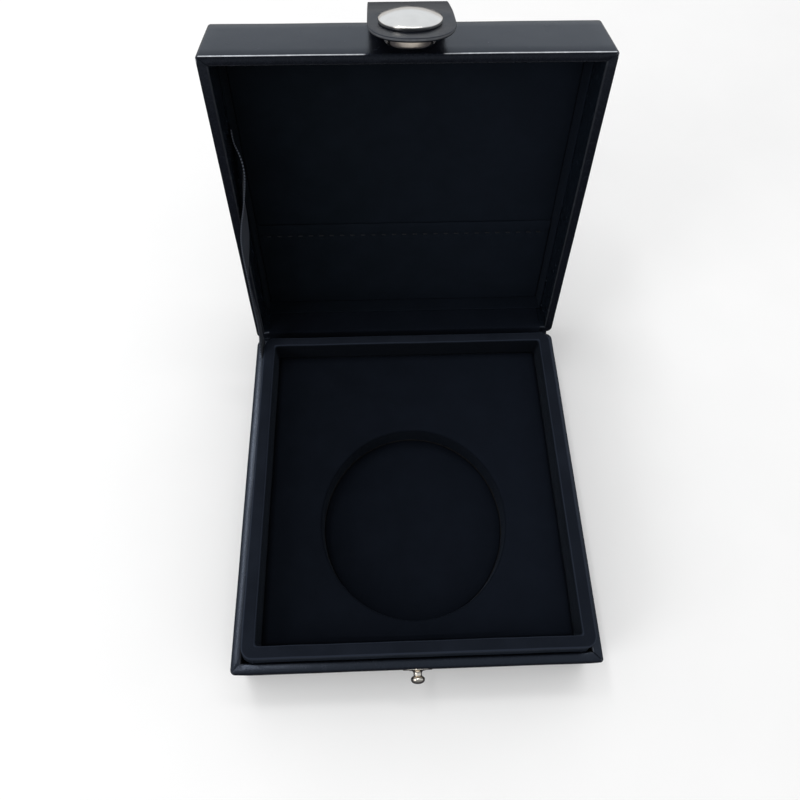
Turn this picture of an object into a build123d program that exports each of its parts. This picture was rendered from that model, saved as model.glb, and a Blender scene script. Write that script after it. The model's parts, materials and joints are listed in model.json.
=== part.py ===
"""A hinged display box for one round pocket watch, shown open.

Board walls under black leatherette, a raised velvet collar round a velvet pad with a round well,
a cloth hinge at the back, a ribbon stay at the left and a fastening tab with a press stud in front.

X runs to the right, Y to the back and Z up. The origin is the centre of the base's underside.
"""

import math
import os

from build123d import *

os.makedirs("parts", exist_ok=True)

# ---------------------------------------------------------------- driving dimensions, millimetres

# the box
box_width = 92.0
box_depth = 91.0
base_height = 19.0
lid_height = 17.0
open_angle = 105.0
closed_gap = 0.6
front_corner = 0.9
rear_corner = 1.9

# boards and their covering
board = 1.6
bottom_board = 2.0
top_board = 1.8
leatherette = 0.45
rim_round = 0.4
far_edge_round = 0.9
turn_in = 9.5
turn_under = 10.0
underlay = 0.5
underlay_inset = 2.5
velvet = 0.5

# the raised collar inside the base, pushed to the right of the ribbon's slot
collar_gap = 0.5
collar_rise = 7.0
collar_side_width = 3.4
collar_front_width = 2.9
collar_back_width = 2.6
collar_corner = 3.0
collar_velvet_drop = 11.0
collar_round = 0.4
collar_shift = 0.4

# the pad and the well
pad_below_rim = 1.0
pad_fit = 0.1
pad_round = 1.2
pad_velvet_drop = 3.0
well_diameter = 50.0
well_depth = 8.5
well_front_margin = 4.85
well_card = 1.5
well_card_fit = 0.1
well_lip_round = 0.4

# the lid's lining
lining_start = 8.0
panel_card = 1.0
panel_fit = 0.05
panel_round = 0.4
lower_lining = 0.5
lower_lining_reach = 34.3
stitch_line = 30.3
stitch_pitch = 3.05
stitch_length = 1.6
stitch_width = 0.4
stitch_height = 0.25
stitch_margin = 1.5

# the cloth hinge
spine_leg = 12.0
spine_side_margin = 1.5
hinge_lining = 0.22
hinge_lining_side_margin = 4.0
hinge_lining_tuck = 3.0
hinge_lining_bend = 0.3
glue_line = 0.03

# the ribbon stay at the left
ribbon_width = 6.0
ribbon_thickness = 0.3
ribbon_slot_depth = 4.0
ribbon_from_back = 5.5
ribbon_seat_along = 68.5
ribbon_seat_depth = 8.0
ribbon_before_rim = 5.7
ribbon_bow = 2.45
ribbon_stations = 20

# the press stud
stud_below_rim = 5.0
stud_flange_diameter = 7.5
stud_flange = 0.5
stud_neck_diameter = 2.1
stud_neck_end = 1.5
stud_head_diameter = 3.5
stud_height = 3.6
rivet_diameter = 1.8
rivet_fit = 0.05
rivet_washer_diameter = 5.0
rivet_washer = 0.3

# the fastening tab
strap_width = 17.6
strap_thickness = 0.9
strap_beyond_cap = 13.0
strap_glued = 14.0
strap_bend_run = 8.0
strap_edge_clearance = 0.3
strap_fastened_tilt = 2.5
strap_spring_back = 7.5
strap_seam = 0.03
cap_diameter = 13.2
cap_edge = 0.5
cap_height = 2.5
socket_diameter = 11.4
socket_height = 3.2
socket_bore_diameter = 5.0
socket_floor = 0.3
socket_round = 0.5
socket_stud_gap = 0.15
spring_wire = 0.3
spring_inset = 0.25
spring_bore_diameter = 2.9

# ---------------------------------------------------------------- worked-out sizes and frames

rim = leatherette + board + leatherette
board_outer = leatherette
board_inner = leatherette + board
collar_outer = rim + collar_gap
collar_top = base_height + collar_rise
floor_low = underlay + leatherette
floor_top = floor_low + bottom_board
pad_top = base_height - pad_below_rim
well_floor = pad_top - well_depth
well_radius = well_diameter / 2
foam_split = well_floor - velvet - well_card
inner_panel = lid_height - leatherette - top_board - panel_card - velvet
lower_lining_top = inner_panel - lower_lining

collar_inner_front = -box_depth / 2 + collar_outer + collar_front_width
collar_inner_back = box_depth / 2 - collar_outer - collar_back_width
collar_inner_middle = (collar_inner_front + collar_inner_back) / 2
collar_inner_depth = collar_inner_back - collar_inner_front
collar_inner_width = box_width - 2 * (collar_outer + collar_side_width)
well_centre_y = collar_inner_front + well_front_margin + well_radius

# the hinge line runs along X at the back, midway between the two rims
hinge_y = box_depth / 2
hinge_z = base_height + closed_gap / 2
opening = math.radians(open_angle)
opening_cos = math.cos(opening)
opening_sin = math.sin(opening)

# the lid's own frame lies on its rim: X right, Y to the hinge, Z into the lid
lid_frame = Plane(
    origin=(
        0,
        hinge_y - box_depth / 2 * opening_cos + closed_gap / 2 * opening_sin,
        hinge_z + box_depth / 2 * opening_sin + closed_gap / 2 * opening_cos,
    ),
    x_dir=(1, 0, 0),
    z_dir=(0, opening_sin, opening_cos),
)


def keep(piece, name):
    """Label a finished piece and write it."""
    piece.part.label = name
    export_step(piece.part, "parts/" + name + ".step")


def outline(inset, corner=None):
    """The box's plan drawn in by an inset, its corners concentric unless a radius is given."""
    with BuildSketch() as plan:
        Rectangle(box_width - 2 * inset, box_depth - 2 * inset)
        front_radius = front_corner - inset if corner is None else corner
        if front_radius > 0:
            fillet(plan.vertices().group_by(Axis.Y)[0], front_radius)
        rear_radius = rear_corner - inset if corner is None else corner
        if rear_radius > 0:
            fillet(plan.vertices().group_by(Axis.Y)[-1], rear_radius)
    return plan.sketch


def in_base(level):
    """The plane at a level on which the collar and the pad are drawn."""
    return Plane(origin=(collar_shift, 0, level))


def ring(outer, inner):
    """The strip of the plan between two insets."""
    with BuildSketch() as plan:
        add(outline(outer))
        add(outline(inner), mode=Mode.SUBTRACT)
    return plan.sketch


def collar_opening(grow):
    """The opening inside the collar, each side moved out by an amount."""
    with BuildSketch() as plan:
        with Locations((0, collar_inner_middle)):
            Rectangle(collar_inner_width + 2 * grow, collar_inner_depth + 2 * grow)
    return plan.sketch


def wall_plan(side, outer, side_inner, front_inner, back_inner, corner=None):
    """The plan of one of four walls. The front and back ones run the full width."""
    between_middle = (front_inner - back_inner) / 2
    between_length = box_depth - front_inner - back_inner
    with BuildSketch() as plan:
        add(outline(outer, corner))
        if side == "front":
            with Locations((0, -box_depth / 2 + front_inner / 2)):
                Rectangle(box_width, front_inner, mode=Mode.INTERSECT)
        elif side == "back":
            with Locations((0, box_depth / 2 - back_inner / 2)):
                Rectangle(box_width, back_inner, mode=Mode.INTERSECT)
        else:
            sign = -1 if side == "left" else 1
            with Locations((sign * (box_width / 2 - side_inner / 2), between_middle)):
                Rectangle(side_inner, between_length, mode=Mode.INTERSECT)
    return plan.sketch


def dome_middle(radius, low, high):
    """The middle point of a round dome's profile, from its edge at one height to its top."""
    rise = high - low
    sphere = (radius**2 + rise**2) / (2 * rise)
    half = math.asin(radius / sphere) / 2
    return (sphere * math.sin(half), high - sphere * (1 - math.cos(half)))


# ---------------------------------------------------------------- base: boards and covering

stud_z = base_height - stud_below_rim
stud_plane = Plane(origin=(0, -box_depth / 2, stud_z), x_dir=(1, 0, 0), z_dir=(0, 0, -1))
stud_axis = Axis((0, -box_depth / 2, stud_z), (0, -1, 0))
stud_wall = Plane(origin=(0, -box_depth / 2, stud_z), x_dir=(1, 0, 0), z_dir=(0, -1, 0))

with BuildPart() as base_underlay:
    with BuildSketch(Plane.XY):
        add(outline(underlay_inset, rear_corner))
    extrude(amount=underlay)
keep(base_underlay, "base_underlay")

with BuildPart() as base_bottom_board:
    with BuildSketch(Plane.XY.offset(floor_low)):
        add(outline(board_outer))
    extrude(amount=bottom_board)
keep(base_bottom_board, "base_bottom_board")

for side in ("front", "back", "left", "right"):
    with BuildPart() as wall_board:
        with BuildSketch(Plane.XY.offset(floor_top)):
            add(wall_plan(side, board_outer, board_inner, board_inner, board_inner))
        extrude(amount=base_height - leatherette - floor_top)
        if side == "front":
            with BuildSketch(stud_wall):
                Circle(rivet_diameter / 2 + rivet_fit)
            extrude(amount=-rim, mode=Mode.SUBTRACT)
    keep(wall_board, "base_" + side + "_board")

base_wrap_layers = (
    (underlay, base_height, 0, leatherette),
    (underlay, floor_low, 0, turn_under),
    (base_height - leatherette, base_height, 0, rim),
    (base_height - turn_in, base_height, board_inner, rim),
)
with BuildPart() as base_wrap:
    for low, high, outer, inner in base_wrap_layers:
        with BuildSketch(Plane.XY.offset(low)):
            add(ring(outer, inner))
        extrude(amount=high - low)
    rim_face = base_wrap.faces().filter_by(Axis.Z).sort_by(Axis.Z)[-1]
    fillet(rim_face.edges(), rim_round)
    with BuildSketch(stud_wall):
        Circle(rivet_diameter / 2 + rivet_fit)
    extrude(amount=-rim, mode=Mode.SUBTRACT)
keep(base_wrap, "base_wrap")

# ---------------------------------------------------------------- base: raised collar

card_outer = collar_outer + velvet
card_side_inner = collar_outer + collar_side_width - velvet
card_front_inner = collar_outer + collar_front_width - velvet
card_back_inner = collar_outer + collar_back_width - velvet
card_corner = collar_corner - velvet

for side in ("front", "back", "left", "right"):
    with BuildPart() as collar_card:
        with BuildSketch(in_base(floor_top)):
            add(wall_plan(side, card_outer, card_side_inner, card_front_inner, card_back_inner, card_corner))
        extrude(amount=collar_top - velvet - floor_top)
    keep(collar_card, "collar_" + side + "_card")

with BuildPart() as collar_velvet:
    with BuildSketch(in_base(collar_top - collar_velvet_drop)):
        add(outline(collar_outer, collar_corner))
        add(outline(card_outer, card_corner), mode=Mode.SUBTRACT)
    extrude(amount=collar_velvet_drop)
    with BuildSketch(in_base(collar_top - velvet)):
        add(outline(collar_outer, collar_corner))
        add(collar_opening(0), mode=Mode.SUBTRACT)
    extrude(amount=velvet)
    with BuildSketch(in_base(collar_top - collar_velvet_drop)):
        add(collar_opening(velvet))
        add(collar_opening(0), mode=Mode.SUBTRACT)
    extrude(amount=collar_velvet_drop)
    crest = collar_velvet.faces().filter_by(Axis.Z).sort_by(Axis.Z)[-1]
    fillet(crest.edges(), collar_round)
keep(collar_velvet, "collar_velvet")

# ---------------------------------------------------------------- base: pad and well

foam_grow = -pad_fit - velvet

with BuildPart() as pad_base_foam:
    with BuildSketch(in_base(floor_top)):
        add(collar_opening(foam_grow))
    extrude(amount=foam_split - floor_top)
keep(pad_base_foam, "pad_base_foam")

with BuildPart() as pad_foam:
    with BuildSketch(in_base(foam_split)):
        add(collar_opening(foam_grow))
    extrude(amount=pad_top - velvet - foam_split)
    fillet(pad_foam.faces().sort_by(Axis.Z)[-1].edges(), pad_round - velvet)
    with BuildSketch(in_base(foam_split)):
        with Locations((0, well_centre_y)):
            Circle(well_radius + velvet)
    extrude(amount=pad_top - foam_split, mode=Mode.SUBTRACT)
keep(pad_foam, "pad_foam")

with BuildPart() as pad_velvet:
    with BuildSketch(in_base(pad_top - pad_velvet_drop)):
        add(collar_opening(-pad_fit))
    extrude(amount=pad_velvet_drop)
    fillet(pad_velvet.faces().sort_by(Axis.Z)[-1].edges(), pad_round)
    with BuildSketch(in_base(well_floor - velvet)):
        with Locations((0, well_centre_y)):
            Circle(well_radius + velvet)
    extrude(amount=pad_top - well_floor + velvet)
    add(pad_foam.part, mode=Mode.SUBTRACT)
    with BuildSketch(in_base(well_floor - velvet)):
        with Locations((0, well_centre_y)):
            Circle(well_radius)
    extrude(amount=well_depth + velvet, mode=Mode.SUBTRACT)
    lip = pad_velvet.faces().filter_by(Axis.Z).sort_by(Axis.Z)[-1].edges().filter_by(GeomType.CIRCLE)
    fillet(lip, well_lip_round)
keep(pad_velvet, "pad_velvet")

with BuildPart() as well_floor_card:
    with BuildSketch(in_base(foam_split)):
        with Locations((0, well_centre_y)):
            Circle(well_radius + velvet - well_card_fit)
    extrude(amount=well_card)
keep(well_floor_card, "well_floor_card")

with BuildPart() as well_floor_velvet:
    with BuildSketch(in_base(foam_split + well_card)):
        with Locations((0, well_centre_y)):
            Circle(well_radius - well_card_fit)
    extrude(amount=velvet)
keep(well_floor_velvet, "well_floor_velvet")

# ---------------------------------------------------------------- base: press stud

flange_radius = stud_flange_diameter / 2
neck_radius = stud_neck_diameter / 2
head_radius = stud_head_diameter / 2
neck_root = stud_flange + (flange_radius - neck_radius) / 8
shoulder_round = head_radius - neck_radius
shoulder = stud_neck_end + shoulder_round

with BuildPart() as snap_stud:
    with BuildSketch(stud_plane):
        with BuildLine():
            Polyline((0, stud_height), (0, 0), (flange_radius, 0), (flange_radius, stud_flange / 2))
            Line((flange_radius, stud_flange / 2), (neck_radius, neck_root))
            Line((neck_radius, neck_root), (neck_radius, stud_neck_end))
            JernArc((neck_radius, stud_neck_end), (1, 0), shoulder_round, 90)
            ThreePointArc(
                (head_radius, shoulder),
                dome_middle(head_radius, shoulder, stud_height),
                (0, stud_height),
            )
        make_face()
    revolve(axis=stud_axis)
keep(snap_stud, "snap_stud")

with BuildPart() as stud_rivet:
    with BuildSketch(stud_wall):
        Circle(rivet_diameter / 2)
    extrude(amount=-rim)
    with BuildSketch(stud_wall.offset(-rim)):
        Circle(rivet_washer_diameter / 2)
    extrude(amount=-rivet_washer)
keep(stud_rivet, "stud_rivet")

# ---------------------------------------------------------------- lid: boards and covering

lid_board_top = lid_height - leatherette - top_board

with BuildPart() as lid_top_board:
    with BuildSketch(lid_frame.offset(lid_board_top)):
        add(outline(board_outer))
    extrude(amount=top_board)
keep(lid_top_board, "lid_top_board")

for side, name in (("front", "front"), ("back", "hinge"), ("left", "left"), ("right", "right")):
    with BuildPart() as wall_board:
        with BuildSketch(lid_frame.offset(leatherette)):
            add(wall_plan(side, board_outer, board_inner, board_inner, board_inner))
        extrude(amount=lid_board_top - leatherette)
    keep(wall_board, "lid_" + name + "_board")

lid_wrap_layers = (
    (0, lid_height, 0, leatherette),
    (0, leatherette, 0, rim),
    (0, turn_in, board_inner, rim),
)
with BuildPart() as lid_wrap:
    for low, high, outer, inner in lid_wrap_layers:
        with BuildSketch(lid_frame.offset(low)):
            add(ring(outer, inner))
        extrude(amount=high - low)
    with BuildSketch(lid_frame.offset(lid_height - leatherette)):
        add(outline(0))
    extrude(amount=leatherette)
    along_lid = Axis(lid_frame.origin, lid_frame.z_dir)
    flat_faces = lid_wrap.faces().filter_by(along_lid).sort_by(along_lid)
    fillet(flat_faces[0].edges(), rim_round)
    flat_faces = lid_wrap.faces().filter_by(along_lid).sort_by(along_lid)
    fillet(flat_faces[-1].edges(), far_edge_round)
keep(lid_wrap, "lid_wrap")

# ---------------------------------------------------------------- lid: lining

panel_inset = rim + velvet + panel_fit

with BuildPart() as lid_panel_card:
    with BuildSketch(lid_frame.offset(inner_panel + velvet)):
        add(outline(panel_inset))
    extrude(amount=panel_card)
keep(lid_panel_card, "lid_panel_card")

with BuildPart() as lid_panel_velvet:
    with BuildSketch(lid_frame.offset(inner_panel)):
        add(outline(panel_inset))
    extrude(amount=velvet)
    fillet(lid_panel_velvet.faces().sort_by(along_lid)[0].edges(), panel_round)
keep(lid_panel_velvet, "lid_panel_velvet")

with BuildPart() as lid_wall_lining:
    with BuildSketch(lid_frame.offset(lining_start)):
        add(ring(rim, rim + velvet))
    extrude(amount=lid_board_top - lining_start)
keep(lid_wall_lining, "lid_wall_lining")

lower_lining_low = panel_inset + panel_round
lower_lining_depth = lower_lining_reach - lower_lining_low
lower_lining_width = box_width - 2 * lower_lining_low

with BuildPart() as lid_lower_lining:
    with BuildSketch(lid_frame.offset(lower_lining_top)):
        with Locations((0, box_depth / 2 - lower_lining_low - lower_lining_depth / 2)):
            Rectangle(lower_lining_width, lower_lining_depth)
    extrude(amount=lower_lining)
keep(lid_lower_lining, "lid_lower_lining")

stitch_row_length = lower_lining_width - 2 * stitch_margin
stitch_count = int((stitch_row_length - stitch_length) / stitch_pitch) + 1

with BuildPart() as hem_stitches:
    with BuildSketch(lid_frame.offset(lower_lining_top - stitch_height)):
        with Locations((0, box_depth / 2 - stitch_line)):
            with GridLocations(stitch_pitch, 1, stitch_count, 1):
                SlotOverall(stitch_length, stitch_width)
    extrude(amount=stitch_height)
keep(hem_stitches, "hem_stitches")

# ---------------------------------------------------------------- cloth hinge

side_view = Plane.YZ


def across(margin):
    """The plane, facing right, that a strip across the back is drawn on."""
    return side_view.offset(-box_width / 2 + margin)


def lid_point(along, depth):
    """A point in the side view, given by its way along the lid from the hinge and behind the rim."""
    offset = depth + closed_gap / 2
    return (
        hinge_y - along * opening_cos + offset * opening_sin,
        hinge_z + along * opening_sin + offset * opening_cos,
    )


def outside_lid(depth, out):
    """A point in the side view, behind the lid's rim and out from its hinge wall."""
    return lid_point(-out, depth)


spine_middle = glue_line + leatherette / 2
spine_half_opening = math.radians(180 - open_angle) / 2
spine_apex_drop = spine_middle / math.tan(spine_half_opening)

with BuildPart() as spine_leatherette:
    with BuildSketch(across(spine_side_margin)):
        with BuildLine():
            FilletPolyline(
                (hinge_y + spine_middle, hinge_z - spine_leg),
                (hinge_y + spine_middle, hinge_z - spine_apex_drop),
                outside_lid(spine_leg - closed_gap / 2, spine_middle),
                radius=leatherette,
            )
        trace(line_width=leatherette)
    extrude(amount=box_width - 2 * spine_side_margin)
keep(spine_leatherette, "spine_leatherette")

lining_middle = glue_line + hinge_lining / 2
slot_y = box_depth / 2 - rim - lining_middle
strip_z = base_height + lining_middle
corner_y = hinge_y - (closed_gap / 2 - lining_middle) * (1 + opening_cos) / opening_sin

with BuildPart() as spine_lining:
    with BuildSketch(across(hinge_lining_side_margin)):
        with BuildLine():
            FilletPolyline(
                (slot_y, base_height - hinge_lining_tuck),
                (slot_y, strip_z),
                (corner_y, strip_z),
                lid_point(rim + lining_middle, -lining_middle),
                lid_point(rim + lining_middle, lining_start - lining_middle),
                radius=hinge_lining_bend,
            )
        trace(line_width=hinge_lining)
    extrude(amount=box_width - 2 * hinge_lining_side_margin)
keep(spine_lining, "spine_lining")

# ---------------------------------------------------------------- ribbon stay

slot_x = -box_width / 2 + rim + (collar_gap + collar_shift) / 2
ribbon_y = box_depth / 2 - ribbon_from_back
wall_x = -box_width / 2 + rim + velvet + ribbon_thickness / 2 + glue_line


def ribbon_point(x, along_share, depth):
    """A point of the ribbon's middle line, its way along the lid a share of that of its glued end."""
    y, z = lid_point(along_share * ribbon_seat_along, depth)
    return (x, y, z)


with BuildLine() as ribbon_path:
    Spline(
        (slot_x, ribbon_y, base_height - ribbon_slot_depth),
        (slot_x, ribbon_y, collar_top),
        ribbon_point(slot_x, 0.175, -ribbon_before_rim),
        ribbon_point(slot_x, 0.42, -ribbon_before_rim),
        ribbon_point(slot_x + ribbon_bow / 4, 0.61, -ribbon_before_rim / 4),
        ribbon_point(slot_x + ribbon_bow * 0.8, 0.77, ribbon_seat_depth / 4),
        ribbon_point(slot_x + ribbon_bow, 0.88, ribbon_seat_depth / 2),
        ribbon_point(wall_x + ribbon_bow / 8, 0.955, ribbon_seat_depth * 0.83),
        ribbon_point(wall_x, 1, ribbon_seat_depth),
    )

with BuildPart() as ribbon_stay:
    for station in range(ribbon_stations + 1):
        share = station / ribbon_stations
        station_plane = Plane(
            origin=ribbon_path.line @ share,
            x_dir=(1, 0, 0),
            z_dir=ribbon_path.line % share,
        )
        with BuildSketch(station_plane):
            Rectangle(ribbon_thickness, ribbon_width)
    loft(ruled=True)
keep(ribbon_stay, "ribbon_stay")

# ---------------------------------------------------------------- fastening tab

# beside the lid's front edge, places are given as a from the lid's top towards its rim and b out
# from its front wall
strap_section = Plane(
    origin=lid_frame.from_local_coords((strap_width / 2, -box_depth / 2, lid_height)),
    x_dir=-lid_frame.z_dir,
    z_dir=-lid_frame.x_dir,
)


def turned(point, centre, degrees):
    """A point turned about a centre, outwards from the wall."""
    angle = math.radians(degrees)
    da = point[0] - centre[0]
    db = point[1] - centre[1]
    return (
        centre[0] + da * math.cos(angle) - db * math.sin(angle),
        centre[1] + da * math.sin(angle) + db * math.cos(angle),
    )


def further(point, way, length):
    """A point at a length from another, on a way given in degrees outwards from the wall."""
    angle = math.radians(way)
    return (point[0] + length * math.cos(angle), point[1] + length * math.sin(angle))


# fastened: the socket's axis meets the stud's head, and its face stays off the stud's flange
stud_a = lid_height + closed_gap + stud_below_rim
tilt = math.radians(strap_fastened_tilt)
socket_face_b = stud_flange + socket_stud_gap + socket_diameter / 2 * math.sin(tilt)
socket_face_a = stud_a + (shoulder - socket_face_b) * math.tan(tilt)
fastened_cap = further(
    (socket_face_a, socket_face_b), strap_fastened_tilt + 90, socket_height + strap_thickness
)

# at rest: the tab has sprung back about the end of its glued root
tab_pivot = (-strap_thickness / 2, -strap_bend_run)
tab_way = strap_fastened_tilt + strap_spring_back
tab_out = tab_way + 90
cap_seat = turned(fastened_cap, tab_pivot, strap_spring_back)
strap_middle = further(cap_seat, tab_out, -strap_thickness / 2)

# the bend's radius is what makes it touch both the lid's top and the straight strap
way_sin = math.sin(math.radians(tab_way))
way_cos = math.cos(math.radians(tab_way))
bend_rise = way_cos * (strap_middle[1] - strap_edge_clearance)
bend_fall = way_sin * (strap_thickness / 2 + strap_middle[0])
bend_radius = (bend_rise - bend_fall) / (1 - way_sin)
bend_centre = (bend_radius - strap_thickness / 2, strap_edge_clearance)
bend_end = further(bend_centre, tab_out, bend_radius)
bend_cut = (180 + tab_out) / 2
print("radius of the tab's bend", round(bend_radius, 3))

cap_point = strap_section.from_local_coords((*cap_seat, strap_width / 2))
cap_axis_dir = strap_section.from_local_coords((*further(cap_seat, tab_out, 1), strap_width / 2)) - cap_point
strap_dir = strap_section.from_local_coords((*further(cap_seat, tab_way, 1), strap_width / 2)) - cap_point
cap_axis = Axis(cap_point, cap_axis_dir)
cap_plane = Plane(origin=cap_point, x_dir=(1, 0, 0), z_dir=cap_axis_dir)
cap_section = Plane(origin=cap_point, x_dir=(1, 0, 0), z_dir=strap_dir)
under_strap = cap_plane.offset(-strap_thickness)

with BuildPart() as tab_root:
    with BuildSketch(lid_frame.offset(lid_height)):
        with Locations((0, -box_depth / 2 + strap_bend_run + strap_glued / 2)):
            Rectangle(strap_width, strap_glued)
    extrude(amount=strap_thickness)
keep(tab_root, "tab_root")

with BuildPart() as tab_bend:
    with BuildSketch(strap_section):
        with BuildLine():
            Line((-strap_thickness / 2, -strap_bend_run + strap_seam), (-strap_thickness / 2, bend_centre[1]))
            CenterArc(bend_centre, bend_radius, bend_cut, 180 - bend_cut)
        trace(line_width=strap_thickness)
    extrude(amount=strap_width)
keep(tab_bend, "tab_bend")

seam_turn = math.degrees(strap_seam / bend_radius)
straight_length = math.dist(bend_end, strap_middle)
tip_radius = strap_width / 2
tip_centre = strap_beyond_cap - tip_radius
strap_straight = straight_length + tip_centre
toward_tip = 1 if under_strap.y_dir.dot(strap_dir) > 0 else -1

with BuildPart() as tab_flap:
    with BuildSketch(strap_section):
        with BuildLine():
            CenterArc(bend_centre, bend_radius, tab_out, bend_cut - tab_out - seam_turn)
        trace(line_width=strap_thickness)
    extrude(amount=strap_width)
    with BuildSketch(under_strap):
        with Locations((0, toward_tip * (tip_centre - strap_straight / 2))):
            Rectangle(strap_width, strap_straight)
        with Locations((0, toward_tip * tip_centre)):
            Circle(tip_radius)
    extrude(amount=strap_thickness)
keep(tab_flap, "tab_flap")

cap_radius = cap_diameter / 2

with BuildPart() as snap_cap:
    with BuildSketch(cap_section):
        with BuildLine():
            Polyline((0, cap_height), (0, 0), (cap_radius, 0), (cap_radius, cap_edge))
            ThreePointArc((cap_radius, cap_edge), dome_middle(cap_radius, cap_edge, cap_height), (0, cap_height))
        make_face()
    revolve(axis=cap_axis)
keep(snap_cap, "snap_cap")

with BuildPart() as snap_socket:
    with BuildSketch(under_strap):
        Circle(socket_diameter / 2)
    extrude(amount=-socket_height)
    socket_face = snap_socket.faces().sort_by(Axis(cap_point, -cap_axis_dir))[-1]
    fillet(socket_face.edges(), socket_round)
    with BuildSketch(under_strap.offset(-socket_height)):
        Circle(socket_bore_diameter / 2)
    extrude(amount=socket_height - socket_floor, mode=Mode.SUBTRACT)
keep(snap_socket, "snap_socket")

spring_ring = (socket_bore_diameter - spring_bore_diameter) / 2
spring_plane = under_strap.offset(-socket_height + spring_inset)

with BuildPart() as snap_spring:
    with BuildSketch(spring_plane):
        Circle(socket_bore_diameter / 2)
        Circle(socket_bore_diameter / 2 - spring_ring, mode=Mode.SUBTRACT)
    extrude(amount=spring_wire)
keep(snap_spring, "snap_spring")
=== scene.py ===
"""The looks of a hinged display box: black leatherette, black velvet, a ribbon stay and a chromed snap."""

import json
import math
from contextlib import contextmanager

import bmesh
import bpy
from mathutils import Matrix, Vector, noise


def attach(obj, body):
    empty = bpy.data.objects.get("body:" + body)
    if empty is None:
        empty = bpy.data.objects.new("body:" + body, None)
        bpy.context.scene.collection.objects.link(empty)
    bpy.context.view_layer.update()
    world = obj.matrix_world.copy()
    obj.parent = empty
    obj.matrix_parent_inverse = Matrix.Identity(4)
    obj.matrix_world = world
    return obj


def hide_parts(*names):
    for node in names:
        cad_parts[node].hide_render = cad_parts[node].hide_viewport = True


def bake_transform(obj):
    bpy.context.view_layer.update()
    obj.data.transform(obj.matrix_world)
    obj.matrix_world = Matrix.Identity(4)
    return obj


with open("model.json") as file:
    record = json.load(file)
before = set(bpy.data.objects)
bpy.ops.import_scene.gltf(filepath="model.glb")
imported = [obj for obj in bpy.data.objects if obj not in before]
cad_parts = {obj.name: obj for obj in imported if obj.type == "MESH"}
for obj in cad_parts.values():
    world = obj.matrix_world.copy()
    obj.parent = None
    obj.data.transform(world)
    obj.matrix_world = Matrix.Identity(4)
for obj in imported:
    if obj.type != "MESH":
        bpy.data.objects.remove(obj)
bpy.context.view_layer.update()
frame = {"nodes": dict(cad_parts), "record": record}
MM = 0.001
# without a seed the noise would take one from the clock, and the covers would differ from run to run
noise.seed_set(7)

# ---- sizes of the box, millimetres

WIDTH = 92.0
DEPTH = 91.0
HALF_W = WIDTH / 2
HALF_D = DEPTH / 2
BASE_HEIGHT = 19.0
LID_HEIGHT = 17.0
OPEN_ANGLE = math.radians(105.0)
CLOSED_GAP = 0.6
LEATHER = 0.45
RIM = 2.5
INNER_W = HALF_W - RIM
INNER_D = HALF_D - RIM
UNDERLAY = 0.5
VELVET = 0.5
LINING_START = 8.0
INNER_PANEL = 13.25
COLLAR_TOP = 26.0
COLLAR_SHIFT = 0.4
COLLAR_OUTER = 3.0
COLLAR_SIDE = 3.4
COLLAR_FRONT = 2.9
COLLAR_BACK = 2.6
PAD_TOP = 18.0
WELL_RADIUS = 25.0
WELL_Y = -9.75
WELL_FLOOR = 9.5
HINGE_Y = HALF_D
HINGE_Z = BASE_HEIGHT + CLOSED_GAP / 2

opening_sin = math.sin(OPEN_ANGLE)
opening_cos = math.cos(OPEN_ANGLE)


def beside_hinge(along, depth):
    """A point in the side view, given by its way along the lid from the hinge and behind the rim."""
    offset = depth + CLOSED_GAP / 2
    return Vector((
        0,
        HINGE_Y - along * opening_cos + offset * opening_sin,
        HINGE_Z + along * opening_sin + offset * opening_cos,
    ))


# the lid's own frame lies on its rim: X right, Y to the hinge, Z into the lid
LID = Matrix.Translation(beside_hinge(HALF_D, 0)) @ Matrix.Rotation(-OPEN_ANGLE, 4, "X")
# where a half goes that is modelled with its rim at height zero and its walls below
ON_BASE = Matrix.Translation((0, 0, BASE_HEIGHT))
IN_LID = LID @ Matrix.Rotation(math.pi, 4, "Y")
AS_BUILT = Matrix.Identity(4)
# the raised collar and the pad are pushed a little to the right of the ribbon's slot
INSERT = Matrix.Translation((COLLAR_SHIFT, 0, 0))

# up to which turn of the surface a finish looks smooth, degrees
LEATHER_SMOOTH = 35
METAL_SMOOTH = 40
CLOTH_SMOOTH = 50

# ---- modelling


def only(piece):
    """Select one piece and make it active."""
    bpy.ops.object.select_all(action="DESELECT")
    piece.select_set(True)
    bpy.context.view_layer.objects.active = piece


@contextmanager
def editing(piece):
    """Edit mode on one piece, with nothing selected at the start."""
    only(piece)
    bpy.ops.object.mode_set(mode="EDIT")
    bpy.ops.mesh.select_all(action="DESELECT")
    yield
    bpy.ops.object.mode_set(mode="OBJECT")


def select_whole():
    """In edit mode, select everything."""
    bpy.ops.mesh.select_all(action="SELECT")


def face_outwards():
    """In edit mode, turn all faces outwards."""
    select_whole()
    bpy.ops.mesh.normals_make_consistent(inside=False)


def pick(kind, test):
    """In edit mode, select just the corners, edges or faces that pass a test."""
    mesh = bmesh.from_edit_mesh(bpy.context.edit_object.data)
    bpy.ops.mesh.select_mode(type=kind)
    bpy.ops.mesh.select_all(action="DESELECT")
    items = {"VERT": mesh.verts, "EDGE": mesh.edges, "FACE": mesh.faces}[kind]
    for item in items:
        if test(item):
            item.select_set(True)
    mesh.select_flush_mode()
    bmesh.update_edit_mesh(bpy.context.edit_object.data)


WIDE_AREA = 4000.0


def near(a, b, slack=0.02):
    """Two lengths are the same, in millimetres."""
    return abs(a - b) < slack


def flat_at(z, up=1):
    """A test for faces that lie at a height and face up or down."""
    return lambda face: near(face.calc_center_median().z, z) and face.normal.z * up > 0.9


def wide_at(z, up=1):
    """A test for the face across the whole box at a height."""
    level = flat_at(z, up)
    return lambda face: level(face) and face.calc_area() > WIDE_AREA


def level_at(z):
    """A test for edges that lie at a height."""
    return lambda edge: all(near(corner.co.z, z) for corner in edge.verts)


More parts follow.
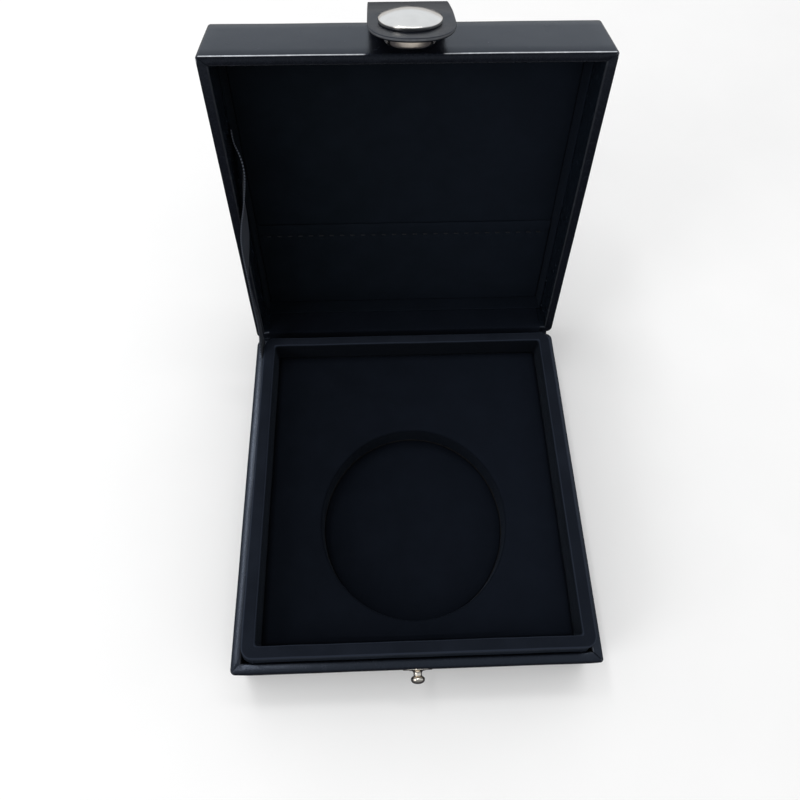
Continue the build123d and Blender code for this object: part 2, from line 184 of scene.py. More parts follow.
def fold_at(z):
    """A test for edges at a height where a level face meets a wall."""
    level = level_at(z)
    return lambda edge: level(edge) and any(abs(face.normal.z) < 0.5 for face in edge.link_faces)


def upright(edge):
    """An edge that runs along Z."""
    one, two = (corner.co for corner in edge.verts)
    return near(one.x, two.x) and near(one.y, two.y) and not near(one.z, two.z)


def primitive(name, add, **settings):
    """Add a primitive while nothing else is selected, and name it."""
    bpy.ops.object.select_all(action="DESELECT")
    add(**settings)
    piece = bpy.context.active_object
    piece.name = name
    piece.data.name = name
    return piece


def block(name, low, high):
    """A box between two corners, its object at the origin."""
    piece = primitive(name, bpy.ops.mesh.primitive_cube_add, size=1)
    with editing(piece):
        select_whole()
        bpy.ops.transform.resize(value=[h - l for l, h in zip(low, high)])
        bpy.ops.transform.translate(value=[(h + l) / 2 for l, h in zip(low, high)])
    return piece


def remove(test):
    """In edit mode, delete the faces that pass a test."""
    pick("FACE", test)
    bpy.ops.mesh.delete(type="FACE")


def inset_at(z, thickness, up=1):
    """In edit mode, inset the level face at a height."""
    pick("FACE", flat_at(z, up))
    bpy.ops.mesh.inset(thickness=thickness)


def turn_down(z, depth):
    """In edit mode, extrude the wide face at a height down as an inner wall, and open it."""
    pick("FACE", wide_at(z))
    bpy.ops.mesh.extrude_region_move(TRANSFORM_OT_translate={"value": (0, 0, -depth)})
    bpy.ops.mesh.delete(type="FACE")


def round_off(test, radius, steps):
    """In edit mode, round the edges that pass a test."""
    pick("EDGE", test)
    bpy.ops.mesh.bevel(offset=radius, segments=steps, affect="EDGES")


def cut(place, square_to):
    """In edit mode, cut the whole mesh along a plane."""
    select_whole()
    bpy.ops.mesh.bisect(plane_co=place, plane_no=square_to)


def thicken(piece, thickness, offset=-1.0):
    """Give a sheet its thickness, inwards if nothing else is said."""
    only(piece)
    modifier = piece.modifiers.new("Solidify", "SOLIDIFY")
    modifier.thickness = thickness
    modifier.offset = offset
    bpy.ops.object.modifier_apply(modifier=modifier.name)


def cross_cuts(step, low, high, axes):
    """In edit mode, cut the whole mesh square to each axis at regular steps."""
    for axis in axes:
        square_to = [1.0 if k == axis else 0.0 for k in range(3)]
        span = high[axis] - low[axis]
        count = int(span / step)
        for n in range(1, count + 1):
            place = [0.0, 0.0, 0.0]
            place[axis] = low[axis] + span * n / (count + 1)
            cut(place, square_to)


def soften(piece, amount, size, where=lambda place: 1.0):
    """Move each corner a little by smooth noise, as hand-covered work is never quite flat."""
    for corner in piece.data.vertices:
        shift = noise.noise_vector(corner.co / size) * amount
        corner.co += shift * where(corner.co)


def lay_plan(piece, values=None):
    """Keep plan coordinates of a piece's corners, in millimetres: the given ones, or their places now."""
    values = values or [corner.co[:] for corner in piece.data.vertices]
    plan = piece.data.attributes.new("plan", "FLOAT_VECTOR", "POINT")
    plan.data.foreach_set("vector", [part for value in values for part in value])


def fit(piece, place, finish, body, *nodes, smooth=CLOTH_SMOOTH):
    """Put a piece in its place in metres, with its finish and on its body, instead of its nodes."""
    if "plan" not in piece.data.attributes:
        lay_plan(piece)
    piece.data.transform(Matrix.Scale(MM, 4) @ place)
    only(piece)
    bpy.ops.object.shade_smooth_by_angle(angle=math.radians(smooth))
    piece.data.materials.clear()
    piece.data.materials.append(finish.material)
    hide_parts(*nodes)
    if body:
        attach(piece, body)


# ---- finishes


class Wire:
    """A shader socket that can stand in a sum."""

    def __init__(self, nodes, socket):
        self.nodes, self.socket = nodes, socket

    def maths(self, operation, *others):
        """One Math node on this socket and others."""
        values = dict(enumerate((self, *others)))
        return self.nodes.node("ShaderNodeMath", {"operation": operation}, values)

    def __add__(self, other):
        return self.maths("ADD", other)

    __radd__ = __add__

    def __mul__(self, other):
        return self.maths("MULTIPLY", other)

    __rmul__ = __mul__

    def __sub__(self, other):
        return self.maths("SUBTRACT", other)

    def __rsub__(self, other):
        return (self * -1) + other

    def absolute(self):
        return self.maths("ABSOLUTE")

    def larger(self, other):
        return self.maths("MAXIMUM", other)

    def sine(self):
        return self.maths("SINE")

    def power(self, other):
        return self.maths("POWER", other)

    def fade(self, start, end):
        """0 up to start and 1 from end, smoothly."""
        values = {"Value": self, "From Min": start, "From Max": end}
        return self.nodes.node("ShaderNodeMapRange", {"interpolation_type": "SMOOTHSTEP"}, values)


# the Mix node's colour sockets, which share their names with its number sockets
MIX_A, MIX_B, MIX_RESULT = 6, 7, 2


class Nodes:
    """A tree of shader nodes."""

    def __init__(self, tree):
        self.tree = tree

    def node(self, kind, settings=None, values=None, output=0):
        """Add a node: its settings first, then the values or links of its sockets."""
        made = self.tree.nodes.new(kind)
        for name, value in (settings or {}).items():
            setattr(made, name, value)
        for socket, value in (values or {}).items():
            if isinstance(value, Wire):
                self.tree.links.new(value.socket, made.inputs[socket])
            else:
                made.inputs[socket].default_value = value
        return Wire(self, made.outputs[output])

    def ray(self, kind):
        """1 on one kind of ray."""
        return self.node("ShaderNodeLightPath", output=f"Is {kind} Ray")

    def split(self, vector):
        """X, Y and Z of a vector."""
        made = self.node("ShaderNodeSeparateXYZ", values={"Vector": vector})
        return [Wire(self, made.socket.node.outputs[k]) for k in range(3)]

    def tint(self, mask, dark, light):
        """A colour between two, by a mask."""
        dark, light = (colour if isinstance(colour, Wire) else (*colour, 1) for colour in (dark, light))
        values = {"Factor": mask, MIX_A: dark, MIX_B: light}
        return self.node("ShaderNodeMix", {"data_type": "RGBA"}, values, MIX_RESULT)


class Finish(Nodes):
    """One material of the box, made of nodes."""

    def __init__(self, name, slot, **constants):
        self.slot = slot
        self.material = bpy.data.materials.new(name)
        self.material.use_nodes = True
        super().__init__(self.material.node_tree)
        self.shader = self.tree.nodes["Principled BSDF"]
        for socket, value in constants.items():
            self.shader.inputs[socket.replace("_", " ")].default_value = value

    def feed(self, **wires):
        """Link wires to the shader."""
        for socket, wire in wires.items():
            self.tree.links.new(wire.socket, self.shader.inputs[socket.replace("_", " ")])

    def plan(self):
        """The piece's own coordinates in millimetres."""
        return self.node("ShaderNodeAttribute", {"attribute_name": "plan"}, output="Vector")

    def place(self):
        """A carried-over node's coordinates in millimetres."""
        coordinates = self.node("ShaderNodeTexCoord", output="Object")
        values = {"Vector": coordinates, "Scale": 1 / MM}
        return self.node("ShaderNodeVectorMath", {"operation": "SCALE"}, values)

    def stretched(self, vector, factors):
        """A vector with each part scaled."""
        return self.node("ShaderNodeVectorMath", {"operation": "MULTIPLY"}, {0: vector, 1: factors})

    def clouds(self, vector, scale, detail=2.0, rough=0.5):
        """Soft noise, 0 to 1."""
        values = {"Vector": vector, "Scale": scale, "Detail": detail, "Roughness": rough}
        return self.node("ShaderNodeTexNoise", values=values)

    def cells(self, vector, scale, jitter=1.0):
        """The distance to the middle of the nearest of many cells."""
        values = {"Vector": vector, "Scale": scale, "Randomness": jitter}
        return self.node("ShaderNodeTexVoronoi", values=values, output="Distance")

    def bump(self, height, distance, strength, under=None):
        """A normal for relief of a depth in millimetres, over another where one is given."""
        values = {"Height": height, "Distance": distance * MM, "Strength": strength}
        if under:
            values["Normal"] = under
        return self.node("ShaderNodeBump", values=values)


LEATHER_BLACK = (0.0025, 0.0031, 0.005)
LEATHER_PALE = (0.0075, 0.009, 0.0135)
COOL_GLOSS = (0.7, 0.8, 1.0, 1.0)
# the pale colour of the painted highlights laid on the leatherette's edges and seams
PAINTED_EDGE_HIGHLIGHT = (0.8, 0.83, 0.88)
# the turn-in inside the lid is painted this paler tone, painted light that makes up for the shade there
TURN_IN_TONE = (0.006, 0.009, 0.0138)
# how strong the painted highlight along a mitre seam is
SEAM_HIGHLIGHT = 0.3


def leatherette(name, grain=0.011, rough=0.23, gloss=0.32, painted_marks=None):
    """Black leatherette: a pebbled grain over a board that isn't quite flat, paler in patches of wear, and
    with the painted highlights and painted tones that its caller gives.
    """
    finish = Finish(name, "leatherette", Specular_IOR_Level=gloss, Specular_Tint=COOL_GLOSS)
    plan = finish.plan()
    pebbles = finish.cells(plan, 2.3, jitter=0.9)
    creases = finish.clouds(plan, 5.0, 3.0)
    broad = finish.clouds(plan, 0.09, 2.0)
    wear = finish.clouds(plan, 0.6, 3.0).fade(0.45, 0.75)
    colour = finish.tint(pebbles * 0.8 + wear * 0.25, LEATHER_BLACK, LEATHER_PALE)
    # painted light that a half asks for: painted highlights on edges and seams, and a paler turn-in inside
    # the lid
    for mask, paler in painted_marks(finish, plan) if painted_marks else ():
        colour = finish.tint(mask * (wear * 0.3 + 0.7), colour, paler)
    grained = finish.bump(creases, 0.006, 0.5, finish.bump(1.0 - pebbles, grain, 0.5))
    finish.feed(
        Base_Color=colour,
        Roughness=creases * 0.1 + wear * 0.05 + (rough - 0.06),
        Normal=finish.bump(broad, 0.22, 0.4, grained),
    )
    return finish


def past(finish, plan, half_x, half_y):
    """How far a spot lies outside an upright-sided rectangle, millimetres."""
    across, along, _ = finish.split(plan)
    return (across.absolute() - half_x).larger(along.absolute() - half_y)


def seam_highlight(finish, plan, side):
    """A painted highlight along the seam across the rim's front corner on one side."""
    across, along, height = finish.split(plan)
    off = ((across.absolute() - HALF_W) - (along.absolute() - HALF_D)).absolute().fade(0.22, 0.08)
    corner = (across * side).fade(INNER_W - 0.5, INNER_W) * along.fade(1 - HALF_D, -HALF_D)
    return off * corner * height.fade(-0.6, -0.2) * SEAM_HIGHLIGHT


def base_painted_highlights(finish, plan):
    """Painted highlights on the base's rim: along its inner edge on the two sides, and along the seam at one
    front corner.
    """
    across, _, height = finish.split(plan)
    inner = (height - past(finish, plan, INNER_W, INNER_D).absolute()).fade(-0.5, -0.2)
    sides = across.absolute().fade(INNER_W - 0.8, INNER_W - 0.3)
    return ((inner * sides * 0.05).larger(seam_highlight(finish, plan, 1)), PAINTED_EDGE_HIGHLIGHT),


def lid_painted_light(finish, plan):
    """Painted light on the lid's leatherette: a painted highlight along the rim's outer front edge, left out
    beside the strap where its shadow falls; a fainter painted highlight along the rim's inner edge; the
    seam's painted highlight; and the turn-in inside painted paler, painted light against the shade in the
    lid.
    """
    across, along, height = finish.split(plan)
    outer = (height + past(finish, plan, HALF_W, HALF_D)).fade(-0.36, -0.31)
    to_inner = past(finish, plan, INNER_W, INNER_D)
    inner = (height - to_inner.absolute()).fade(-0.5, -0.2) * 0.035
    # no painted highlight beside the strap, where the strap's shadow falls on the edge
    front = along.fade(2 - HALF_D, 1 - HALF_D) * (across - 0.9).absolute().fade(8.2, 9.2)
    pale = (outer * front).larger(inner).larger(seam_highlight(finish, plan, -1))
    return (to_inner.fade(0.25, 0.1), TURN_IN_TONE), (pale, PAINTED_EDGE_HIGHLIGHT)


def strap_painted_highlight(finish, plan):
    """A painted highlight along the strap's cut edge."""
    height = finish.split(plan)[2]
    return ((height - 0.12).absolute().fade(0.3, 0.12) * 0.14, PAINTED_EDGE_HIGHLIGHT),


def velvet(name, dark, light, sheen, lit_side, crest=None):
    """Black short-pile velvet: its own pile and specks, patches where the pile leans painted paler as painted
    sheen, the whole painted paler to its lit side, and on a crest a painted highlight over walls in painted
    shade.
    """
    finish = Finish(
        name, "velvet", Sheen_Weight=sheen, Sheen_Roughness=0.35, Sheen_Tint=(0.6, 0.75, 1.0, 1.0),
        Specular_IOR_Level=0.05, Roughness=0.9,
    )
    plan = finish.plan()
    pile = finish.clouds(plan, 6.0, 3.0, 0.7)
    leaning = finish.clouds(plan, 0.11, 3.0, 0.6)
    specks = finish.cells(plan, 1.3).fade(0.1, 0.03) * 0.2
    across, _, height = finish.split(plan)
    # the leaning patches are painted sheen, and the slope across the piece is painted light, paler to its lit
    # side
    paleness = pile * 0.3 + leaning.fade(0.3, 0.75) * 0.13 + specks + across * (lit_side * 0.27 / HALF_W) + 0.2
    if crest:
        to_edge = COLLAR_OUTER + 1.5
        outside = past(finish, plan, HALF_W - to_edge, HALF_D - to_edge).fade(-0.2, 0.2)
        # a painted highlight just under the crest, and painted shade on the inner walls below it
        crest_highlight = height.fade(crest - 0.55, crest - 0.4) * height.fade(crest - 0.05, crest - 0.2)
        lit = height.fade(crest - 1.2, crest - 0.4).larger(outside) * 0.8 + 0.15
        paleness = paleness * lit + crest_highlight * 1.1
    finish.feed(
        Base_Color=finish.tint(paleness, dark, light),
        Normal=finish.bump(leaning, 0.1, 0.3, finish.bump(pile, 0.1, 0.6)),
    )
    return finish


RIB_PITCH = 0.68
THREAD_PITCH = 0.28


def grosgrain():
    """Black ribbed ribbon: round ribs across it, and fine threads along it, their crests painted paler as
    painted highlights.
    """
    finish = Finish("black_ribbon", "ribbon", Sheen_Weight=0.05, Sheen_Roughness=0.3, Specular_IOR_Level=0.15)
    across, along, _ = finish.split(finish.plan())
    ribs = (along * (2 * math.pi / RIB_PITCH)).sine() * 0.5 + 0.5
    threads = (across * (2 * math.pi / THREAD_PITCH)).sine() * 0.5 + 0.5
    # paler on the crests of ribs and threads: painted highlight
    raised = ribs.power(1.4) * 0.85 + threads * 0.15
    finish.feed(
        Base_Color=finish.tint(raised, (0.008, 0.0095, 0.014), (0.105, 0.12, 0.152)),
        Roughness=0.62 - ribs * 0.2,
        Normal=finish.bump(ribs, 0.16, 0.9, finish.bump(threads, 0.03, 0.5)),
    )
    return finish


def sewing_thread():
    """Black twisted thread, each twist's crest painted paler as a painted highlight."""
    finish = Finish("black_thread", "thread", Sheen_Weight=0.05, Specular_IOR_Level=0.2)
    across, along, _ = finish.split(finish.plan())
    twist = ((across * 4.0 + along * 9.0) * 2.0).sine() * 0.5 + 0.5
    finish.feed(
        Base_Color=finish.tint(twist, (0.004, 0.005, 0.007), (0.0105, 0.0125, 0.0165)),
        Roughness=0.6 - twist * 0.15,
        Normal=finish.bump(twist, 0.05, 0.6),
    )
    return finish


def plated(name, dark, light):
    """Plated metal with faint turning marks and fingerprints."""
    finish = Finish(name, "chromed_metal", Metallic=1.0)
    place = finish.place()
    smears = finish.clouds(place, 0.35, 3.0)
    scratches = finish.clouds(finish.stretched(place, (7.0, 0.6, 0.6)), 1.0, 2.0)
    finish.feed(
        Base_Color=finish.tint(smears, dark, light),
        Roughness=smears.fade(0.35, 0.75) * 0.1 + 0.12 + scratches * 0.05,
        Normal=finish.bump(scratches, 0.01, 0.3),
    )
    return finish


def hidden_finish(name, slot, pattern, dark, light, depth, strength, **constants):
    """A dull finish, whose pattern gives its relief and its paleness."""
    finish = Finish(name, slot, Specular_IOR_Level=0.1, **constants)
    relief, paleness = pattern(finish, finish.place())
    finish.feed(
        Base_Color=finish.tint(paleness, dark, light), Normal=finish.bump(relief, depth, strength)
    )
    return finish


def board_fibres(finish, place):
    """Near-black board, with short fibres and specks."""
    fibres = finish.clouds(finish.stretched(place, (1.0, 4.0, 4.0)), 0.7, 4.0, 0.7)
    return fibres, fibres * 0.7 + finish.cells(place, 0.9).fade(0.25, 0.1) * 0.3


def open_cells(finish, place):
    """Dark foam with open cells."""
    pores = finish.cells(place, 1.6)
    return pores, pores


def matted_fibres(finish, place):
    """Thin black felt."""
    mat = finish.clouds(place, 1.8, 5.0, 0.75)
    strands = finish.clouds(finish.stretched(place, (0.6, 5.0, 1.0)), 1.2, 3.0)
    return mat, mat * 0.6 + strands * 0.4


def near_black_metal():
    """The rivet's inner head, near black with paler flecks."""
    finish = Finish("near_black_metal", "chromed_metal", Metallic=0.4)
    place = finish.place()
    chips = finish.clouds(place, 2.5, 4.0).fade(0.6, 0.72)
    finish.feed(
        Base_Color=finish.tint(chips, (0.008, 0.008, 0.009), (0.05, 0.05, 0.05)),
        Roughness=chips * 0.2 + 0.5,
        Normal=finish.bump(chips, 0.03, 0.5),
    )
    return finish


LEATHERETTE = leatherette("black_leatherette")
# the base, lid and strap take painted highlights; the lid also a paler turn-in, painted light
BASE_LEATHER = leatherette("base_leatherette", gloss=0.36, painted_marks=base_painted_highlights)
LID_LEATHER = leatherette("lid_leatherette", gloss=0.29, painted_marks=lid_painted_light)
STRAP_LEATHER = leatherette("tab_leatherette", grain=0.02, rough=0.3, gloss=0.19, painted_marks=strap_painted_highlight)
# one black velvet in three copies, their tones set apart for the light on each part, painted light: the pad
# and the lid painted paler to the right, the collar paler on its crest
BASE_VELVET = velvet("base_velvet", (0.0017, 0.0026, 0.0045), (0.0074, 0.0103, 0.0175), 0.03, 1)
COLLAR_VELVET = velvet("collar_velvet", (0.0014, 0.0021, 0.0037), (0.0195, 0.025, 0.038), 0.05, 0, COLLAR_TOP)
LID_VELVET = velvet("lid_velvet", (0.0018, 0.0032, 0.0046), (0.0088, 0.0123, 0.0205), 0.02, -1)
RIBBON = grosgrain()
THREAD = sewing_thread()
CHROME = plated("bright_chrome", (0.72, 0.68, 0.63), (0.87, 0.82, 0.76))
WARM_NICKEL = plated("warm_nickel", (0.66, 0.58, 0.49), (0.82, 0.75, 0.66))
RIVET_NEAR_BLACK = near_black_metal()

NODE_FINISHES = {
    "leatherette": LEATHERETTE,
    "velvet": BASE_VELVET,
    "board": hidden_finish(
        "dark_board", "board", board_fibres, (0.008, 0.008, 0.009), (0.035, 0.034, 0.034), 0.08, 0.5,
        Roughness=0.9,
    ),
    "foam": hidden_finish(
        "dark_foam", "foam", open_cells, (0.006, 0.006, 0.007), (0.05, 0.05, 0.052), 0.4, 0.8, Roughness=0.95
    ),
    "felt": hidden_finish(
        "black_felt", "felt", matted_fibres, (0.005, 0.005, 0.006), (0.028, 0.028, 0.031), 0.15, 0.8,
        Roughness=0.97, Sheen_Weight=0.15,
    ),
    "thread": THREAD,
    "ribbon": RIBBON,
    "chromed_metal": CHROME,
}
for subpart in frame["record"]["subparts"]:
    node = frame["nodes"][subpart["node"]]
    finish = RIVET_NEAR_BLACK if subpart["node"] == "stud_rivet" else NODE_FINISHES[subpart["material_slot"]]
    node.data.materials.clear()
    node.data.materials.append(finish.material)


# ---- leatherette covering of a half

TURN_IN = 9.5
TURN_UNDER = 10.0
RIM_ROUND = 0.5
FAR_ROUND = 0.8
MITRE_HALF = 0.13
MITRE_DEEP = 0.14
MITRE_FAINT = 0.03
MITRE_REACH = 4.5
MITRE_LOW = -0.45
CORNER_STEPS = 6
EDGE_STEPS = 4


def mitre(sign_x, sign_y, deep):
    """In edit mode, press the seam where two turned edges meet across one corner of the rim."""
    corner = Vector((sign_x * HALF_W, sign_y * HALF_D, 0))
    square_to = Vector((sign_x, -sign_y, 0)).normalized()

    def by_corner(face):
        middle = face.calc_center_median()
        return (middle - corner).length < MITRE_REACH + 1.5 and middle.z > 2 * MITRE_LOW

    def on_seam(spot):
        away = spot.co - corner
        return away.length < MITRE_REACH and spot.co.z > MITRE_LOW and abs(away.dot(square_to)) < 0.01

    for offset in (-MITRE_HALF, 0, MITRE_HALF):
        pick("FACE", by_corner)
        bpy.ops.mesh.bisect(plane_co=corner + square_to * offset, plane_no=square_to)
    pick("VERT", on_seam)
    bpy.ops.transform.shrink_fatten(value=-deep)


def covering(name, height, far_side_open, corners, place, finish, node, body):
    """Leatherette drawn over one half's boards: walls, rim with mitred corners, and turned-in edges."""
    low, high = (-HALF_W, -HALF_D, -height), (HALF_W, HALF_D, 0)
    piece = block(name, low, high)
    with editing(piece):
        inset_at(0, RIM)
        turn_down(0, TURN_IN)
        if far_side_open:
            inset_at(-height, TURN_UNDER, -1)
            remove(wide_at(-height, -1))
        for sign_x, sign_y, radius in corners:
            at_corner = Vector((sign_x * HALF_W, sign_y * HALF_D))
            round_off(
                lambda edge: upright(edge) and (edge.verts[0].co.xy - at_corner).length < 0.02,
                radius, CORNER_STEPS,
            )
        round_off(fold_at(0), RIM_ROUND, EDGE_STEPS)
        round_off(fold_at(-height), FAR_ROUND, EDGE_STEPS)
        cross_cuts(4.0, low, high, (0, 1, 2))
        for sign_x, sign_y, _ in corners:
            mitre(sign_x, sign_y, MITRE_DEEP if sign_x > 0 else MITRE_FAINT)
    lay_plan(piece)
    soften(piece, 0.06, 13.0)
    thicken(piece, LEATHER)
    fit(piece, place, finish, body, node, smooth=LEATHER_SMOOTH)


covering(
    "base_covering", BASE_HEIGHT - UNDERLAY, True,
    ((-1, -1, 1.3), (1, -1, 0.9), (-1, 1, 1.9), (1, 1, 1.9)),
    ON_BASE, BASE_LEATHER, "base_wrap", "base",
)
covering(
    "lid_covering", LID_HEIGHT, False,
    ((-1, -1, 0.85), (1, -1, 0.85), (-1, 1, 1.9), (1, 1, 1.9)),
    IN_LID, LID_LEATHER, "lid_wrap", "lid",
)

# ---- velvet of the base

COLLAR_DROP = 11.0
COLLAR_CORNER = 3.0
COLLAR_CREST = 0.75
COLLAR_INNER_ROUND = 0.9
FRONT_FULL = 0.4
LEFT_FULL = 0.75
CORNER_FULL = 0.6
FULL_TOP = BASE_HEIGHT + 1.25
FULL_FADE = 1.6
SLOT_FRONT = 30.0


def collar_cover():
    """Velvet drawn over the raised frame, its crest rounded at both edges."""
    half_w = HALF_W - COLLAR_OUTER
    half_d = HALF_D - COLLAR_OUTER
    foot = COLLAR_TOP - COLLAR_DROP
    piece = block("collar_cover", (-half_w, -half_d, foot), (half_w, half_d, COLLAR_TOP))
    with editing(piece):
        remove(flat_at(foot, -1))
        inset_at(COLLAR_TOP, COLLAR_BACK)
        for sign in (-1, 1):
            pick("VERT", lambda spot: near(spot.co.x, sign * (half_w - COLLAR_BACK)))
            bpy.ops.transform.translate(value=(sign * (COLLAR_BACK - COLLAR_SIDE), 0, 0))
        pick("VERT", lambda spot: near(spot.co.y, COLLAR_BACK - half_d))
        bpy.ops.transform.translate(value=(0, COLLAR_FRONT - COLLAR_BACK, 0))
        turn_down(COLLAR_TOP, COLLAR_DROP)
        round_off(lambda edge: upright(edge) and near(abs(edge.verts[0].co.x), half_w), COLLAR_CORNER, 8)
        within = half_w - COLLAR_SIDE + 0.02
        round_off(
            lambda edge: upright(edge) and abs(edge.verts[0].co.x) < within, COLLAR_INNER_ROUND, EDGE_STEPS
        )
        round_off(fold_at(COLLAR_TOP), COLLAR_CREST, 5)
        cross_cuts(2.5, (-half_w, -half_d, 0), (half_w, half_d, 0), (0, 1))
        for rise in (-1.0, -0.3, 0.4, 1.2, 2.2):
            cut((0, 0, BASE_HEIGHT + rise), (0, 0, 1))
    lay_plan(piece)
    # low down the velvet is fuller, and narrows the gap at the front and, short of the slot, at the left
    for corner in piece.data.vertices:
        spot, out = corner.co, corner.normal
        if max(abs(spot.x) - half_w, abs(spot.y) - half_d) > -COLLAR_CORNER / 2:
            low = max(0.0, min(1.0, (FULL_TOP - spot.z) / FULL_FADE))
            front, left = max(0.0, -out.y), max(0.0, -out.x) if spot.y < SLOT_FRONT else 0.0
            full = FRONT_FULL * front + LEFT_FULL * left + CORNER_FULL * 2 * abs(out.x) * front
            corner.co += Vector((out.x, out.y, 0)) * full * low * low * (3 - 2 * low)
    soften(piece, 0.07, 7.0)
    thicken(piece, VELVET)
    fit(piece, INSERT, COLLAR_VELVET, "base", "collar_velvet")


collar_cover()

PAD_HALF_W = 39.5
PAD_FRONT = -39.5
PAD_BACK = 39.8
PAD_ROUND = 1.2
PAD_DROP = 3.0
PAD_POINTS = 160
PAD_CROWN = 0.22
PLEATS = 34
PLEAT_DEPTH = 0.06


def pad_rim(share):
    """A point of the pad's outline, by its share of the way round, with a corner at each quarter."""
    quarter, along = divmod(share * 4, 1)
    corners = [
        Vector((-PAD_HALF_W, PAD_FRONT)), Vector((PAD_HALF_W, PAD_FRONT)),
        Vector((PAD_HALF_W, PAD_BACK)), Vector((-PAD_HALF_W, PAD_BACK)),
    ]
    return corners[int(quarter) % 4].lerp(corners[int(quarter + 1) % 4], along)


def pad_rings():
    """The pad's rings from its outline into the well: share of the way out, how far in from there, height."""
    rings = [(1, 0.0, PAD_TOP - drop) for drop in (PAD_DROP, 2.0, PAD_ROUND)]
    for turn in (22.5, 45.0, 67.5, 90.0):
        angle = math.radians(turn)
        rings.append((1, PAD_ROUND * (1 - math.cos(angle)), PAD_TOP - PAD_ROUND * (1 - math.sin(angle))))
    for out in (0.95, 0.87, 0.77, 0.66, 0.55, 0.44, 0.34, 0.25, 0.17, 0.1, 0.055):
        rings.append((out, PAD_ROUND * out, PAD_TOP))
    for lip, drop in ((0.5, 0.03), (0.32, 0.12), (0.12, 0.32), (0.02, 0.6)):
        rings.append((0, -lip, PAD_TOP - drop))
    for drop in (1.2, 2.6, 4.2, 5.8, 7.2, 8.3):
        rings.append((0, 0, PAD_TOP - drop))
    return rings


def pad_spot(ring, share):
    """A point of the pad's velvet, by its ring and its share of the way round."""
    out, inward, height = ring
    middle = Vector((0, WELL_Y))
    rim = pad_rim(share)
    away = (rim - middle).normalized()
    outline = Vector((
        max(-PAD_HALF_W + inward, min(PAD_HALF_W - inward, rim.x)),
        max(PAD_FRONT + inward, min(PAD_BACK - inward, rim.y)),
    ))
    if out == 0:
        flat = middle + away * (WELL_RADIUS - inward)
    else:
        flat = (middle + away * WELL_RADIUS).lerp(outline, out)
    reach = (flat - middle).length - WELL_RADIUS
    crown = PAD_CROWN * max(0.0, 1 - abs(reach - 9) / 9) if 0 < out < 1 else 0.0
    if height < PAD_TOP - 0.3 and out == 0:
        uneven = 2 * noise.noise((flat.x / 9, flat.y / 9, 0))
        pleat = PLEAT_DEPTH * math.sin(share * 2 * math.pi * PLEATS + uneven)
        flat += away * pleat * min(1.0, (PAD_TOP - height) / 4)
    return (flat.x, flat.y, height + crown)


def pad_cover():
    """Velvet over the foam pad, turned down at its outer edge and rolled over the lip into the round well."""
    piece = primitive("pad_cover", bpy.ops.mesh.primitive_circle_add, vertices=PAD_POINTS, radius=1)
    rings = pad_rings()
    with editing(piece):
        select_whole()
        for _ in rings[1:]:
            bpy.ops.mesh.extrude_edges_move()
    for n, corner in enumerate(piece.data.vertices):
        corner.co = pad_spot(rings[n // PAD_POINTS], n % PAD_POINTS / PAD_POINTS)
    soften(piece, 0.1, 9.0, lambda place: 1.0 if place.z > PAD_TOP - 1 else 0.3)
    with editing(piece):
        face_outwards()
    highest = max(piece.data.polygons, key=lambda face: face.center.z)
    if highest.normal.z < 0:
        piece.data.flip_normals()
    thicken(piece, VELVET)
    fit(piece, INSERT, BASE_VELVET, "base", "pad_velvet")


pad_cover()


def well_floor():
    """The well's round floor: velvet over card, slightly crowned and turned down at its edge."""
    piece = primitive(
        "well_floor_cover", bpy.ops.mesh.primitive_circle_add,
        vertices=96, radius=WELL_RADIUS - 0.12, fill_type="NGON",
    )
    with editing(piece):
        select_whole()
        bpy.ops.transform.translate(value=(0, WELL_Y, WELL_FLOOR - 0.35))
        steps = ((0.15, 0.2), (0.25, 0.12), (1.5, 0.06), (4, 0.06), (5, 0.04), (5, 0.02), (4, 0.01))
        for thickness, rise in steps:
            bpy.ops.mesh.inset(thickness=thickness)
            bpy.ops.transform.translate(value=(0, 0, rise))
        bpy.ops.mesh.poke()
    soften(piece, 0.06, 6.0)
    thicken(piece, 0.4)
    fit(piece, INSERT, BASE_VELVET, "base", "well_floor_velvet")


well_floor()

# ---- velvet of the lid

LINING_END = 14.75
PANEL_HALF_W = 42.95
PANEL_HALF_D = 42.45
PANEL_CROWN = 0.3


def lid_wall_cover():
    """The strip of velvet round the inside of the lid's walls, its free edge folded."""
    low, high = (-INNER_W, -INNER_D, -LINING_END), (INNER_W, INNER_D, -LINING_START)
    piece = block("lid_wall_cover", low, high)
    with editing(piece):
        remove(lambda face: abs(face.normal.z) > 0.9)
        round_off(upright, 0.45, EDGE_STEPS)
        cross_cuts(3.0, low, high, (0, 1, 2))
        cut((0, 0, -LINING_START - 0.25), (0, 0, 1))
    thicken(piece, VELVET)
    with editing(piece):
        round_off(fold_at(-LINING_START), 0.16, 3)
    soften(piece, 0.05, 6.0)
    fit(piece, IN_LID, LID_VELVET, "lid", "lid_wall_lining")


def lid_panel_cover():
    """The lid's covered panel: soft edges and a slight crown above the lower lining."""
    low = (-PANEL_HALF_W, -PANEL_HALF_D, -INNER_PANEL - VELVET)
    high = (PANEL_HALF_W, PANEL_HALF_D, -INNER_PANEL)
    piece = block("lid_panel_cover", low, high)
    with editing(piece):
        round_off(level_at(-INNER_PANEL), 0.42, EDGE_STEPS)
        cross_cuts(3.0, low, high, (0, 1))
    for corner in piece.data.vertices:
        if corner.co.z > -INNER_PANEL - 0.1:
            side = max(0.0, 1 - (corner.co.x / PANEL_HALF_W) ** 2)
            end = max(0.0, min(1.0, (8 - corner.co.y) / 8)) * min(1.0, (corner.co.y + PANEL_HALF_D) / 8)
            lift = noise.noise(corner.co / 12) * 0.1 + PANEL_CROWN
            corner.co.z += lift * math.sqrt(side) * max(0.0, end)
    fit(piece, IN_LID, LID_VELVET, "lid", "lid_panel_velvet")


